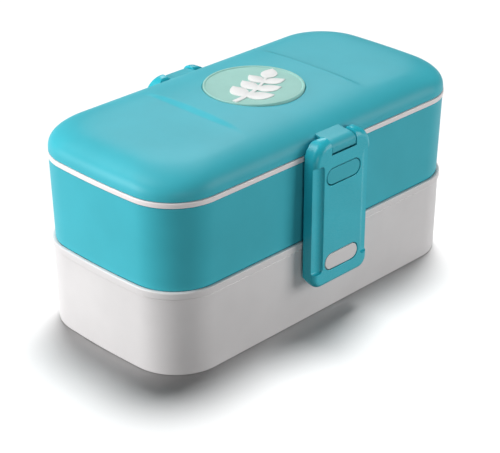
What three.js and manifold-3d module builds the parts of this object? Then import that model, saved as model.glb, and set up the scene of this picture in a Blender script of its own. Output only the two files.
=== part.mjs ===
// Two-tier bento lunch box: two food tiers, two sealing lids, a domed cover over a cutlery
// tray, and a swinging latch with a hinge pin on each long side.
// Millimetres. +X runs along the box, -Y is the front, +Z is up, the origin is the middle of the base.
import * as THREE from 'three';
import { mergeVertices } from 'three/addons/utils/BufferGeometryUtils.js';
import Module from 'manifold-3d';

const wasm = await Module();
wasm.setup();

// ---- Driving dimensions ----
const HALF_LENGTH = 92.5;
const HALF_WIDTH = 45.1;
const CORNER_RADIUS = 23.4;
const END_RADIUS = 400;
const CORNER_STEPS = 8;
const END_STEPS = 2;
const GAP = 0.3;

const FOOT_RECESS = 0.8;
const FLOOR_THICKNESS = 1.8;
const LOWER_WALL = 2.0;
const UPPER_WALL = 1.8;
const LOWER_TOP = 36.7;
const RIM_BOTTOM = LOWER_TOP + GAP;
const RIM_TOP = 40.15;
const RIM_PROUD = 0.65;
const RIM_PANEL_TOP = 38.1;
const UPPER_BOTTOM = RIM_PANEL_TOP + GAP;
const UPPER_TOP = 78.1;
const BAND_BOTTOM = UPPER_TOP + GAP;
const BAND_TOP = 80.75;
const BAND_PROUD = 0.6;
const TRAY_FLOOR = 78.0;
const TRAY_BEAD_TOP = 82.3;

const COVER_BOTTOM = BAND_TOP + GAP;
const COVER_PROUD = 0.24;
const COVER_CROWN = 95.2;
const COVER_INSIDE = 91.4;
const COVER_WALL = 2.0;
const DOME_POWER = 2.75;
const DOME_STEPS = 7;
const MID_BAND_HALF = 36.5;
const END_PANEL_TOP = 93.2;
const END_PANEL_DROP = 0.7;

const BADGE_RADIUS = 22.5;
const BADGE_BOTTOM = 93.6;
const BADGE_FACE = 94.9;
const BADGE_RIM = 95.35;
const BADGE_RIM_WIDTH = 0.9;
const EMBLEM_BOTTOM = 95.0;
const EMBLEM_HEIGHT = 0.5;
const EMBLEM_SPREAD = 1.32;

const PIVOT_OUT = 49.6;
const PIVOT_HEIGHT = 83.9;
const LATCH_FACE = 4.1;
const LATCH_BACK = 2.5;
const LATCH_HALF_WIDTH = 17.6;
const LATCH_FOOT = 18.9 - PIVOT_HEIGHT;
const LATCH_FOOT_BACK = 24.0 - PIVOT_HEIGHT;
const LATCH_PLATE = 2.6;
const LATCH_SIDE_WALL = 6.0;
const LATCH_WEB = 6.0;
const LATCH_FOOT_RADIUS = 5.5;
const LATCH_TOP_RADIUS = 9.5;
const RECESS_INSIDE = 12.2;
const RECESS_DEPTH = 1.9;
const RECESS_LOW = 26.5 - PIVOT_HEIGHT;
const RECESS_HIGH = 77.5 - PIVOT_HEIGHT;
const RECESS_RADIUS = 2;
const KNUCKLE_HALF = 7.35;
const KNUCKLE_GAP = 0.45;
const KNUCKLE_SWEEP = 5.02;
const KNUCKLE_FRONT = 3.9;
const KNUCKLE_TOP = 3.0;
const KNUCKLE_BASE = 2.55;
const PIN_RADIUS = 1.2;
const PIN_HALF = 13.2;

const CATCH_HEIGHTS = { upper: 71.0, lower: 30.2 };
const CATCH_HALF_WIDTH = 10.35;
const CATCH_HALF_HEIGHT = 3.65;
const CATCH_FACE = 53.65;
const CATCH_BEVEL = 0.5;
const CATCH_ROOT = 44.2;
const WINDOW_GAP = 0.45;
const LIP_STRAIGHT = 0.5;
const LIP_SLOPE = 1.3;

const CUTLERY_LENGTH = 150;
const CUTLERY_REST = 79.9;
const SPOON_DEPTH = 3.2;
const VENT_X = 82;

const COLOURS = {
  teal: 0x4bb4c0,
  tealDark: 0x3fa6b4,
  white: 0xeeecea,
  mint: 0x9fd8c8,
  silicone: 0xdfe9e6,
  steel: 0xb9bdc0,
};

// ---- Outlines ----
function arc(cx, cy, radius, from, to, steps) {
  const points = [];
  for (let i = 0; i <= steps; i++) {
    const angle = from + ((to - from) * i) / steps;
    points.push([cx + radius * Math.cos(angle), cy + radius * Math.sin(angle)]);
  }
  return points;
}

function mirrorQuadrant(quadrant) {
  const left = quadrant.map(([x, y]) => [-x, y]).reverse();
  const top = [...quadrant, ...left];
  const bottom = top.map(([x, y]) => [-x, -y]);
  return [...top, ...bottom];
}

// Box outline in plan: straight long sides, round corners, and short ends that bow out slightly.
function planOutline(halfLength, halfWidth, radius, endRadius) {
  const cornerY = halfWidth - radius;
  const endX = halfLength - endRadius;
  const cornerX = endX + Math.sqrt((endRadius - radius) ** 2 - cornerY ** 2);
  const turn = Math.atan2(cornerY, cornerX - endX);
  const end = arc(endX, 0, endRadius, turn / (2 * END_STEPS + 1), turn, END_STEPS);
  const corner = arc(cornerX, cornerY, radius, turn, Math.PI / 2, CORNER_STEPS);
  return mirrorQuadrant([...end, ...corner.slice(1)]);
}

function boxOutline(grow) {
  return planOutline(HALF_LENGTH + grow, HALF_WIDTH + grow, CORNER_RADIUS + grow, END_RADIUS + grow);
}

// Upright outline, symmetric about its vertical axis, with its own radius at each end.
function uprightOutline(halfWidth, low, high, lowRadius, highRadius, steps) {
  const right = [
    ...arc(halfWidth - lowRadius, low + lowRadius, lowRadius, -Math.PI / 2, 0, steps),
    ...arc(halfWidth - highRadius, high - highRadius, highRadius, 0, Math.PI / 2, steps),
  ];
  return [...right, ...right.map(([x, z]) => [-x, z]).reverse()];
}

// ---- Solids ----
function meshGeometry(positions, indices) {
  const geometry = new THREE.BufferGeometry();
  geometry.setAttribute('position', new THREE.BufferAttribute(new Float32Array(positions), 3));
  geometry.setIndex(indices);
  return geometry;
}

function signedVolume(positions, indices) {
  const corner = (i) => new THREE.Vector3(...positions.slice(3 * i, 3 * i + 3));
  let volume = 0;
  for (let i = 0; i < indices.length; i += 3) {
    volume += corner(indices[i]).dot(corner(indices[i + 1]).cross(corner(indices[i + 2])));
  }
  return volume;
}

function facingOut(positions, indices) {
  const turned = signedVolume(positions, indices) < 0 ? [...indices].reverse() : indices;
  return meshGeometry(positions, turned);
}

// Skin through a stack of rings of [x, y, z] points; it closes with a fan at each end,
// or back on its own first ring.
function loft(rings, closesOnItself = false) {
  const count = rings[0].length;
  const positions = rings.flat(2);
  const indices = [];
  const bands = closesOnItself ? rings.length : rings.length - 1;
  for (let r = 0; r < bands; r++) {
    const next = (r + 1) % rings.length;
    for (let i = 0; i < count; i++) {
      const j = (i + 1) % count;
      indices.push(r * count + i, r * count + j, next * count + j);
      indices.push(r * count + i, next * count + j, next * count + i);
    }
  }
  if (!closesOnItself) {
    addFan(positions, indices, rings[0], 0, -1);
    addFan(positions, indices, rings.at(-1), (rings.length - 1) * count, 1);
  }
  return facingOut(positions, indices);
}

function addFan(positions, indices, ring, first, side) {
  const middle = [0, 1, 2].map((axis) => ring.reduce((sum, point) => sum + point[axis], 0) / ring.length);
  const centre = positions.length / 3;
  positions.push(...middle);
  for (let i = 0; i < ring.length; i++) {
    const here = first + i;
    const next = first + ((i + 1) % ring.length);
    indices.push(...(side > 0 ? [here, next, centre] : [next, here, centre]));
  }
}

const levelRing = (outline, z) => outline.map(([x, y]) => [x, y, z]);
const facingRing = (outline, y) => outline.map(([x, z]) => [x, y, z]);
const boxShell = (profile) => loft(profile.map(([grow, z]) => levelRing(boxOutline(grow), z)));
const boxRing = (profile) => loft(profile.map(([grow, z]) => levelRing(boxOutline(grow), z)), true);

// Prism of a closed outline. Axis z: outline in x, y. Axis x: outline in y, z. Axis y: outline in x, z.
function prism(points, from, to, axis = 'z') {
  const shape = new THREE.Shape(points.map(([u, v]) => new THREE.Vector2(u, v)));
  const geometry = new THREE.ExtrudeGeometry(shape, { depth: to - from, bevelEnabled: false });
  geometry.translate(0, 0, from);
  const frames = {
    z: new THREE.Matrix4(),
    x: new THREE.Matrix4().set(0, 0, 1, 0, 1, 0, 0, 0, 0, 1, 0, 0, 0, 0, 0, 1),
    y: new THREE.Matrix4().set(1, 0, 0, 0, 0, 0, -1, 0, 0, 1, 0, 0, 0, 0, 0, 1),
  };
  return geometry.applyMatrix4(frames[axis]);
}

const disc = (radius, steps) => arc(0, 0, radius, 0, 2 * Math.PI, steps).slice(1);
const rod = (radius, half, steps) => prism(disc(radius, steps), -half, half, 'x');

function block(x, y, z) {
  const geometry = new THREE.BoxGeometry(x[1] - x[0], y[1] - y[0], z[1] - z[0]);
  return geometry.translate((x[0] + x[1]) / 2, (y[0] + y[1]) / 2, (z[0] + z[1]) / 2);
}

function toManifold(geometry) {
  const bare = geometry.clone();
  bare.deleteAttribute('normal');
  bare.deleteAttribute('uv');
  const merged = mergeVertices(bare, 1e-4);
  const vertProperties = new Float32Array(merged.getAttribute('position').array);
  const triVerts = new Uint32Array(merged.index.array);
  return new wasm.Manifold(new wasm.Mesh({ numProp: 3, vertProperties, triVerts }));
}

function combine(base, { joins = [], cuts = [] }) {
  let result = toManifold(base);
  for (const piece of joins) {
    result = result.add(toManifold(piece));
  }
  for (const piece of cuts) {
    result = result.subtract(toManifold(piece));
  }
  const mesh = result.getMesh();
  return meshGeometry(mesh.vertProperties, [...mesh.triVerts]);
}

function common(a, b) {
  const mesh = toManifold(a).intersect(toManifold(b)).getMesh();
  return meshGeometry(mesh.vertProperties, [...mesh.triVerts]);
}

const turned = (geometry) => geometry.clone().rotateZ(Math.PI);
const bothSides = (geometry) => [geometry, turned(geometry)];

// ---- Catches ----
function catchOutline(grow, height) {
  const radius = CATCH_HALF_HEIGHT + grow;
  const corner = radius - 0.02;
  return uprightOutline(CATCH_HALF_WIDTH + grow, height - radius, height + radius, corner, corner, 5);
}

function catchBoss(height) {
  return loft([
    facingRing(catchOutline(0, height), -CATCH_ROOT),
    facingRing(catchOutline(0, height), CATCH_BEVEL - CATCH_FACE),
    facingRing(catchOutline(-CATCH_BEVEL, height), -CATCH_FACE),
  ]);
}

// ---- Tiers and sealing lids ----
function lowerTier() {
  const floor = FOOT_RECESS + FLOOR_THICKNESS;
  const shell = boxShell([
    [-14, FOOT_RECESS], [-13, 0], [-1.1, 0], [-0.5, 0.3], [-0.3, 0.9], [0.1, LOWER_TOP],
    [0.1 - LOWER_WALL, LOWER_TOP], [-0.9 - LOWER_WALL, floor + 2.6], [-5.2, floor], [-14, floor],
  ]);
  return combine(shell, { joins: bothSides(catchBoss(CATCH_HEIGHTS.lower)) });
}

function upperTier() {
  const floor = UPPER_BOTTOM + FLOOR_THICKNESS;
  const shell = boxShell([
    [-14, UPPER_BOTTOM], [-2.1, UPPER_BOTTOM], [-1.3, UPPER_BOTTOM + 0.8], [-1.3, RIM_TOP + GAP],
    [-0.75, RIM_TOP + 2 * GAP], [0.2, UPPER_TOP], [0.2 - UPPER_WALL, UPPER_TOP],
    [-1.25 - UPPER_WALL, floor + 2.6], [-5.4, floor], [-14, floor],
  ]);
  return combine(shell, { joins: bothSides(catchBoss(CATCH_HEIGHTS.upper)) });
}

// Panel with a raised lip that holds the upper tier's foot, and a skirt with a seal groove below.
function middleLid() {
  return boxShell([
    [-14, 36.4], [-5.9, 36.4], [-5.9, 30.7], [-2.4, 30.7], [-2.4, 32.1], [-3.9, 32.1], [-3.9, 34.9],
    [-2.4, 34.9], [-2.4, RIM_BOTTOM], [RIM_PROUD - 0.1, RIM_BOTTOM], [RIM_PROUD, RIM_BOTTOM + 0.3],
    [RIM_PROUD, RIM_TOP - 0.6], [RIM_PROUD - 0.25, RIM_TOP - 0.15], [RIM_PROUD - 0.7, RIM_TOP],
    [-0.95, RIM_TOP], [-0.95, RIM_PANEL_TOP], [-14, RIM_PANEL_TOP],
  ]);
}

function innerLid() {
  const tray = boxShell([
    [-14, 76.4], [-5.6, 76.4], [-5.6, 72.2], [-2.1, 72.2], [-2.1, 73.6], [-3.6, 73.6], [-3.6, 76.4],
    [-2.1, 76.4], [-2.1, BAND_BOTTOM], [BAND_PROUD, BAND_BOTTOM], [BAND_PROUD, BAND_TOP],
    [-2.3, BAND_TOP], [-2.3, TRAY_BEAD_TOP], [-4.2, TRAY_BEAD_TOP], [-4.2, TRAY_FLOOR], [-14, TRAY_FLOOR],
  ]);
  const rests = [-45, 45].map((x) =>
    block([x - 2, x + 2], [-37, 37], [TRAY_FLOOR - 0.6, CUTLERY_REST - GAP]));
  const ventHole = prism(disc(3.3, 20), 70, 90).translate(VENT_X, 0, 0);
  return combine(tray, { joins: rests, cuts: [ventHole] });
}

const middleSeal = () => boxRing([[-3.6, 32.4], [-2.3, 32.4], [-2.3, 34.6], [-3.6, 34.6]]);
const innerSeal = () => boxRing([[-3.3, 73.9], [-1.95, 73.9], [-1.95, 76.1], [-3.3, 76.1]]);

function ventPlug() {
  const profile = [
    [0, 75.4], [2.6, 75.4], [3, 75.8], [3, 78.3], [5.5, 78.3], [5.5, 79.6], [4.6, 80.5], [0, 80.5],
  ];
  const lathe = new THREE.LatheGeometry(profile.map(([r, z]) => new THREE.Vector2(r, z)), 20);
  return combine(lathe.rotateX(Math.PI / 2), {});
}

// Upright wall across a tier on a narrow foot; it clears the tier's sloping walls and floor fillet.
function divider(floor, top, lowHalf, highHalf) {
  const wall = [
    [-lowHalf + 3, floor], [lowHalf - 3, floor], [lowHalf - 0.3, floor + 3.2], [highHalf, top - 3],
    [highHalf - 3, top], [-highHalf + 3, top], [-highHalf, top - 3], [-lowHalf + 0.3, floor + 3.2],
  ];
  const foot = block([-5, 5], [-lowHalf + 3.5, lowHalf - 3.5], [floor, floor + 1.4]);
  return combine(prism(wall, -0.8, 0.8, 'x'), { joins: [foot] });
}

// ---- Cover ----
// Ring of a dome, from its edge (reach 1) to its ridge (reach 0).
function domeRing(reach, inset, base, crown) {
  const width = HALF_WIDTH + inset;
  const halfWidth = width * reach;
  const roundness = (CORNER_RADIUS + inset) / width;
  const radius = halfWidth * (roundness + (0.97 - roundness) * (1 - reach));
  const outline = planOutline(HALF_LENGTH - HALF_WIDTH + halfWidth, halfWidth, radius, END_RADIUS);
  const rise = (1 - reach ** DOME_POWER) ** (1 / DOME_POWER);
  return levelRing(outline, base + (crown - base) * rise);
}

function domeRings(inset, base, crown) {
  const rings = [];
  for (let i = 0; i < DOME_STEPS; i++) {
    const angle = (Math.PI / 2) * (i / DOME_STEPS);
    rings.push(domeRing(Math.cos(angle) ** (2 / DOME_POWER), inset, base, crown));
  }
  return rings;
}

// Wedge that trims one end of the dome to a flat, slightly falling panel.
function endPanelCutter() {
  const outer = HALF_LENGTH + 5;
  const fall = [
    [MID_BAND_HALF, END_PANEL_TOP], [HALF_LENGTH, END_PANEL_TOP - END_PANEL_DROP],
    [outer, END_PANEL_TOP], [outer, COVER_CROWN + 5], [MID_BAND_HALF - 1.5, COVER_CROWN + 5],
    [MID_BAND_HALF - 1.5, COVER_CROWN - 0.8],
  ];
  return prism(fall, -HALF_WIDTH, HALF_WIDTH, 'y');
}

// Knuckle that reaches out from the cover's side and holds the hinge pin between the latch's ears.
function coverKnuckle() {
  const front = arc(0, 0, 1, Math.PI, Math.PI / 2, 6).map(([y, z]) => [y * KNUCKLE_FRONT, z * KNUCKLE_TOP]);
  const side = [
    [PIVOT_OUT - 44.2, -KNUCKLE_BASE], [0.5 - KNUCKLE_FRONT, -KNUCKLE_BASE], [-KNUCKLE_FRONT, -2],
    ...front, [2.7, 3.1], [6.1, 3.7], [7.7, 3.7], [PIVOT_OUT - 43.2, 2.1], [PIVOT_OUT - 44, 0.1],
  ];
  return prism(side, -KNUCKLE_HALF, KNUCKLE_HALF, 'x').translate(0, -PIVOT_OUT, PIVOT_HEIGHT);
}

function cover() {
  const edge = COVER_BOTTOM + 0.3;
  const outside = domeRings(COVER_PROUD, edge, COVER_CROWN);
  const inside = domeRings(-COVER_WALL, COVER_BOTTOM + 1.5, COVER_INSIDE).reverse();
  const foot = [-COVER_WALL, COVER_PROUD].map((grow) => levelRing(boxOutline(grow), COVER_BOTTOM));
  const shell = loft([...inside, ...foot, ...outside]);
  const badgeSeat = prism(disc(BADGE_RADIUS + GAP, 48), BADGE_BOTTOM - GAP, COVER_CROWN + 5);
  const bore = rod(PIN_RADIUS + GAP, KNUCKLE_HALF + 1, 16).translate(0, -PIVOT_OUT, PIVOT_HEIGHT);
  const panels = bothSides(endPanelCutter());
  return combine(shell, {
    joins: bothSides(coverKnuckle()),
    cuts: [...panels, badgeSeat, ...bothSides(bore)],
  });
}

function badge() {
  const rimInside = BADGE_RADIUS - BADGE_RIM_WIDTH;
  const profile = [
    [0, BADGE_BOTTOM], [BADGE_RADIUS, BADGE_BOTTOM], [BADGE_RADIUS, BADGE_RIM - 0.3],
    [BADGE_RADIUS - 0.3, BADGE_RIM], [rimInside, BADGE_RIM], [rimInside - 0.4, BADGE_FACE], [0, BADGE_FACE],
  ];
  const lathe = new THREE.LatheGeometry(profile.map(([r, z]) => new THREE.Vector2(r, z)), 48);
  return combine(lathe.rotateX(Math.PI / 2), {});
}

// Leaf of two arcs between its base at the origin and its tip at +X.
function leafOutline(length, bulge) {
  const upper = new THREE.QuadraticBezierCurve(
    new THREE.Vector2(0, 0), new THREE.Vector2(length * 0.45, bulge), new THREE.Vector2(length, 0));
  const points = upper.getPoints(6).map((p) => [p.x, p.y]);
  const lower = points.slice(1, -1).reverse().map(([x, y]) => [x, -y]);
  return [...points, ...lower];
}

function leaf(x, y, angle, length) {
  const geometry = prism(leafOutline(length, length * 0.62), 0, EMBLEM_HEIGHT);
  return geometry.rotateZ(angle).translate(x, y, EMBLEM_BOTTOM);
}

// Sprig: a curved stem with leaves in pairs and one at the tip.
function emblem() {
  const stemCentre = (s) => [-14.6 + 22 * s, -5.5 + 7 * s * s];
  const width = (s) => 0.85 - 0.4 * s;
  const steps = [0, 0.2, 0.4, 0.6, 0.8, 1];
  const top = steps.map((s) => [stemCentre(s)[0], stemCentre(s)[1] + width(s)]);
  const bottom = steps.map((s) => [stemCentre(s)[0], stemCentre(s)[1] - width(s)]).reverse();
  const outline = [...bottom.reverse(), ...top.reverse()];
  const stem = prism(outline, 0, EMBLEM_HEIGHT).translate(0, 0, EMBLEM_BOTTOM);
  const leaves = [leaf(...stemCentre(0.97), 0.5, 9)];
  for (const s of [0.25, 0.55, 0.82]) {
    const size = 10.5 - 3 * s;
    leaves.push(leaf(...stemCentre(s), 1.15 + 0.3 * s, size));
    leaves.push(leaf(...stemCentre(s), -0.75 + 0.4 * s, size));
  }
  return combine(stem, { joins: leaves }).scale(EMBLEM_SPREAD, EMBLEM_SPREAD, 1);
}

// ---- Latch, around its own hinge axis: X along the hinge, -Y outward ----
function latchOutline(grow) {
  return uprightOutline(
    LATCH_HALF_WIDTH + grow, LATCH_FOOT - grow, LATCH_FACE + grow,
    LATCH_FOOT_RADIUS + grow, LATCH_TOP_RADIUS + grow, 6);
}

function latchSide() {
  const backTurn = -Math.acos(LATCH_BACK / LATCH_FACE);
  return [
    [-LATCH_FACE, LATCH_FOOT], ...arc(0, 0, LATCH_FACE, Math.PI, backTurn, 14),
    [LATCH_BACK, LATCH_FOOT_BACK],
  ].reverse();
}

// Window for a catch; its lower lip falls away behind the plate so that it lifts off the catch.
function latchWindow(height) {
  const z = height - PIVOT_HEIGHT;
  const radius = CATCH_HALF_HEIGHT + WINDOW_GAP;
  const corner = radius - 0.02;
  const ring = (drop, y) => facingRing(
    uprightOutline(CATCH_HALF_WIDTH + WINDOW_GAP, z - radius - drop, z + radius, corner, corner, 5), y);
  const lipBack = LIP_STRAIGHT - LATCH_FACE;
  const plateBack = LATCH_PLATE - LATCH_FACE;
  const drop = LIP_SLOPE * (plateBack - lipBack);
  return loft([
    ring(0, -LATCH_FACE - 2), ring(0, lipBack), ring(drop, plateBack), ring(drop, plateBack + 1),
  ]);
}

// Recess along one long edge of the latch, open to its side.
function latchRecess(side) {
  const reach = (LATCH_HALF_WIDTH - RECESS_INSIDE) / 2 + 1;
  const outline = uprightOutline(reach, RECESS_LOW, RECESS_HIGH, RECESS_RADIUS, RECESS_RADIUS, 5);
  const recess = prism(outline, LATCH_FACE - RECESS_DEPTH, LATCH_FACE + 2, 'y');
  return recess.translate(side * (RECESS_INSIDE + reach), 0, 0);
}

function latch() {
  const face = loft([
    facingRing(latchOutline(0), LATCH_BACK + 0.5), facingRing(latchOutline(0), 1.6 - LATCH_FACE),
    facingRing(latchOutline(-0.45), 0.6 - LATCH_FACE), facingRing(latchOutline(-1.4), -LATCH_FACE - 0.05),
  ]);
  const body = common(face, prism(latchSide(), -LATCH_HALF_WIDTH - 1, LATCH_HALF_WIDTH + 1, 'x'));
  const inside = LATCH_HALF_WIDTH - LATCH_SIDE_WALL;
  const plateBack = LATCH_PLATE - LATCH_FACE;
  const hollow = block([-inside, inside], [plateBack, LATCH_BACK + 2], [LATCH_FOOT + 3.5, -LATCH_WEB]);
  const openFoot = block(
    [-inside, inside], [plateBack + 1.5, LATCH_BACK + 2], [LATCH_FOOT - 1, -LATCH_WEB]);
  const sweep = rod(KNUCKLE_SWEEP, KNUCKLE_HALF + KNUCKLE_GAP, 32);
  const bore = rod(PIN_RADIUS + GAP, PIN_HALF + GAP, 16);
  const windows = [latchWindow(CATCH_HEIGHTS.upper), latchWindow(CATCH_HEIGHTS.lower)];
  const recesses = [latchRecess(-1), latchRecess(1)];
  return combine(body, { cuts: [hollow, openFoot, sweep, bore, ...windows, ...recesses] });
}

// ---- Cutlery ----
// Flat bar along X whose half width, height and hollow follow its length (0 at the handle's end).
function bar(halfWidth, rise, dish, thickness, centreShift = () => 0) {
  const lengthSteps = 22;
  const across = [-1, -0.5, 0, 0.5, 1];
  const skin = (s, level) => across.map((v) => {
    const hollow = dish(s) * (1 - v * v);
    return [CUTLERY_LENGTH * (s - 0.5), centreShift(s) + v * halfWidth(s), rise(s) - hollow + level];
  });
  const rings = [];
  for (let i = 0; i <= lengthSteps; i++) {
    const s = i / lengthSteps;
    rings.push([...skin(s, 0), ...skin(s, thickness).reverse()]);
  }
  return loft(rings).translate(0, 0, CUTLERY_REST);
}

const smooth = (from, to, s) => THREE.MathUtils.smoothstep(s, from, to);
const roundEnd = (s, end, length) =>
  Math.sqrt(Math.max(0, 1 - (Math.max(0, s - end + length) / length) ** 2));
const handle = (s) => (3.2 + 3.4 * (1 - smooth(0, 0.6, s))) * (0.25 + 0.75 * roundEnd(1 - s, 1, 0.05));

function spoon() {
  const bowl = (s) => 13 * Math.sqrt(Math.max(0, 1 - ((s - 0.85) / 0.16) ** 2));
  const width = (s) => Math.max(handle(s) * (s < 0.85 ? 1 : 0), bowl(s), 1.2);
  const rise = (s) => SPOON_DEPTH * smooth(0.35, 0.72, s);
  const dish = (s) => SPOON_DEPTH * smooth(0.7, 0.82, s) * (1 - smooth(0.88, 1, s));
  return bar(width, rise, dish, 1.6);
}

function fork() {
  const head = (s) => 10.5 * smooth(0.62, 0.76, s);
  const width = (s) => Math.max(handle(s), head(s)) * (s < 0.98 ? 1 : 0.92);
  const body = bar(width, () => 0, () => 0, 2.2);
  const slots = [-5.2, 0, 5.2].map((y) => block([36, 80], [y - 1.3, y + 1.3], [70, 90]));
  return combine(body, { cuts: slots });
}

function knife() {
  const blade = (s) => 7 * smooth(0.4, 0.5, s) * (0.3 + 0.7 * roundEnd(s, 1, 0.2));
  const width = (s) => Math.max(handle(s) * (s < 0.6 ? 1 : 0), blade(s), 1.2);
  return bar(width, () => 0, () => 0, 2.0, (s) => 1.5 * smooth(0.4, 0.5, s));
}

// ---- Assembly ----
const material = (colour, roughness, metalness = 0) =>
  new THREE.MeshStandardMaterial({ color: colour, roughness, metalness });

const box = new THREE.Group();

function place(name, geometry, surface, position = [0, 0, 0], turn = 0) {
  geometry.computeVertexNormals();
  const mesh = new THREE.Mesh(geometry, surface);
  mesh.name = name;
  mesh.position.set(...position);
  mesh.rotation.z = turn;
  box.add(mesh);
}

place('lower_tier', lowerTier(), material(COLOURS.white, 0.42));
place('middle_lid', middleLid(), material(COLOURS.white, 0.42));
place('middle_lid_seal', middleSeal(), material(COLOURS.silicone, 0.6));
place('upper_tier', upperTier(), material(COLOURS.teal, 0.5));
place('inner_lid', innerLid(), material(COLOURS.white, 0.42));
place('inner_lid_seal', innerSeal(), material(COLOURS.silicone, 0.6));
place('vent_plug', ventPlug(), material(COLOURS.silicone, 0.6), [VENT_X, 0, 0]);
place('lid_cover', cover(), material(COLOURS.teal, 0.5));
place('lid_badge', badge(), material(COLOURS.mint, 0.45));
place('badge_emblem', emblem(), material(COLOURS.white, 0.45));

place('lower_divider', divider(2.9, 29.5, 41.7, 42.3), material(COLOURS.mint, 0.45), [18, 0, 0]);
place('upper_divider', divider(40.5, 71, 41.5, 42.7), material(COLOURS.white, 0.45), [-22, 0, 0]);

place('spoon', spoon(), material(COLOURS.mint, 0.4), [0, -22, 0]);
place('fork', fork(), material(COLOURS.mint, 0.4), [0, 3.5, 0]);
place('knife', knife(), material(COLOURS.mint, 0.4), [0, 24, 0]);

const hinges = { front: -1, rear: 1 };
for (const [side, sign] of Object.entries(hinges)) {
  const position = [0, sign * PIVOT_OUT, PIVOT_HEIGHT];
  const turn = sign > 0 ? Math.PI : 0;
  place(`${side}_latch`, latch(), material(COLOURS.tealDark, 0.48), position, turn);
  const steel = material(COLOURS.steel, 0.3, 1);
  place(`${side}_latch_pin`, rod(PIN_RADIUS, PIN_HALF, 16), steel, position, turn);
}

export default box;
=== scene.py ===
"""Two-tier bento lunch box: fine surfaces, materials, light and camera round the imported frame.

Shapes are worked out in millimetres: +X runs along the box, -Y is the front, +Z is up.
"""
import math

import bpy
import numpy as np
from mathutils import Matrix, Vector


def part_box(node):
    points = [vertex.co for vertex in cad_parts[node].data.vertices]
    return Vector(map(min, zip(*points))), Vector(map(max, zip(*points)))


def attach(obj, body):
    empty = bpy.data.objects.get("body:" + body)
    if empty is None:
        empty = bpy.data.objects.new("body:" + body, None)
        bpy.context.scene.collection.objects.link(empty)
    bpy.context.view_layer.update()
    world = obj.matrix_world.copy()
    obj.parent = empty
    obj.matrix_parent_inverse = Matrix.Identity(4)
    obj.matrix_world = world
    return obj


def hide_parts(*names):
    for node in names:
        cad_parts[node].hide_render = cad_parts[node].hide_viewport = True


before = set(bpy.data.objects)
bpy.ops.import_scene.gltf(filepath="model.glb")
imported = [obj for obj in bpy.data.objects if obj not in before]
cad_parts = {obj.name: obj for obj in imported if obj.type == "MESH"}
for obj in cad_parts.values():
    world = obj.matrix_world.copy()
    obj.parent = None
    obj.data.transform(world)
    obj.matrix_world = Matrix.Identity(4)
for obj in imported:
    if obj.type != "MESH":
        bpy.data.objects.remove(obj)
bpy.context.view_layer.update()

MM = 0.001
GAP = 0.3


def node_box(node):
    """A CAD node's lowest and highest corner, in millimetres."""
    low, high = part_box(node)
    return np.array(low) / MM, np.array(high) / MM


# ---- Sizes, from the frame ----
LOWER_HIGH = node_box("lower_tier")[1]
UPPER_LOW, UPPER_HIGH = node_box("upper_tier")
RIM_HIGH = node_box("middle_lid")[1]
TRAY_HIGH = node_box("inner_lid")[1]
COVER_LOW, COVER_HIGH = node_box("lid_cover")
BADGE_LOW, BADGE_HIGH = node_box("lid_badge")
EMBLEM_HIGH = node_box("badge_emblem")[1]
LATCH_LOW, LATCH_HIGH = node_box("front_latch")
PIN_LOW, PIN_HIGH = node_box("front_latch_pin")
VENT_LOW, VENT_HIGH = node_box("vent_plug")

COVER_PROUD = 0.24
HALF_LENGTH = COVER_HIGH[0] - COVER_PROUD
HALF_WIDTH = HALF_LENGTH - 47.4
CORNER_RADIUS = 23.4
END_RADIUS = 400.0

LOWER_TOP = LOWER_HIGH[2]
RIM_BOTTOM = LOWER_TOP + GAP
RIM_TOP = 40.15
RIM_PROUD = RIM_HIGH[0] - HALF_LENGTH
UPPER_BOTTOM = UPPER_LOW[2]
RIM_PANEL_TOP = UPPER_BOTTOM - GAP
UPPER_TOP = UPPER_HIGH[2]
BAND_BOTTOM = UPPER_TOP + GAP
BAND_PROUD = TRAY_HIGH[0] - HALF_LENGTH
COVER_BOTTOM = COVER_LOW[2]
BAND_TOP = COVER_BOTTOM - GAP
TRAY_FLOOR = 78.0
TRAY_BEAD_TOP = TRAY_HIGH[2]

COVER_CROWN = COVER_HIGH[2]
COVER_WALL = 2.0
DOME_BASE = COVER_BOTTOM + 0.3
COVER_INSIDE = 91.4
DOME_POWER = 2.75
RIDGE_ROUNDNESS = 0.97
STEP_AT = 36.5
STEP_WIDTH = 3.0
PANEL_TOP = 93.4
PANEL_DROP = 0.7
PANEL_BLEND = 1.3

BADGE_RADIUS = BADGE_HIGH[0]
BADGE_FACE = 94.9
BADGE_RIM_WIDTH = 0.9
BADGE_RIM_SLOPE = 0.35
EMBLEM_SPREAD = 1.32
EMBLEM_SINK = 0.1
LEAF_FULLEST = 0.45
LEAF_BULGE = 0.62
LEAF_EDGE_HEIGHT = 0.55
LEAF_PAIRS = (0.25, 0.55, 0.82)
SEAT_RADIUS = BADGE_RADIUS + GAP
SEAT_EDGE = 0.25

PIVOT_OUT = -(PIN_LOW[1] + PIN_HIGH[1]) / 2
PIVOT_HEIGHT = (PIN_LOW[2] + PIN_HIGH[2]) / 2
PIN_RADIUS = (PIN_HIGH[2] - PIN_LOW[2]) / 2
PIN_HALF = PIN_HIGH[0]
LATCH_FACE = -LATCH_LOW[1] - PIVOT_OUT
LATCH_BACK = 2.5
LATCH_HALF_WIDTH = LATCH_HIGH[0]
LATCH_FOOT = 19.05 - PIVOT_HEIGHT
LATCH_FOOT_BACK = 24.0 - PIVOT_HEIGHT
LATCH_PLATE = 2.6
LATCH_SIDE_WALL = 6.0
LATCH_WEB = 6.0
LATCH_EDGE = 2.6
LATCH_FOOT_RADIUS = 5.5
LATCH_TOP_RADIUS = 9.5
RECESS_INSIDE = 12.2
RECESS_DEPTH = 1.9
RECESS_SLOPE = 3.5
RECESS_END_SLOPE = 1.2
RECESS_LOW = 26.5 - PIVOT_HEIGHT
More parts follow.
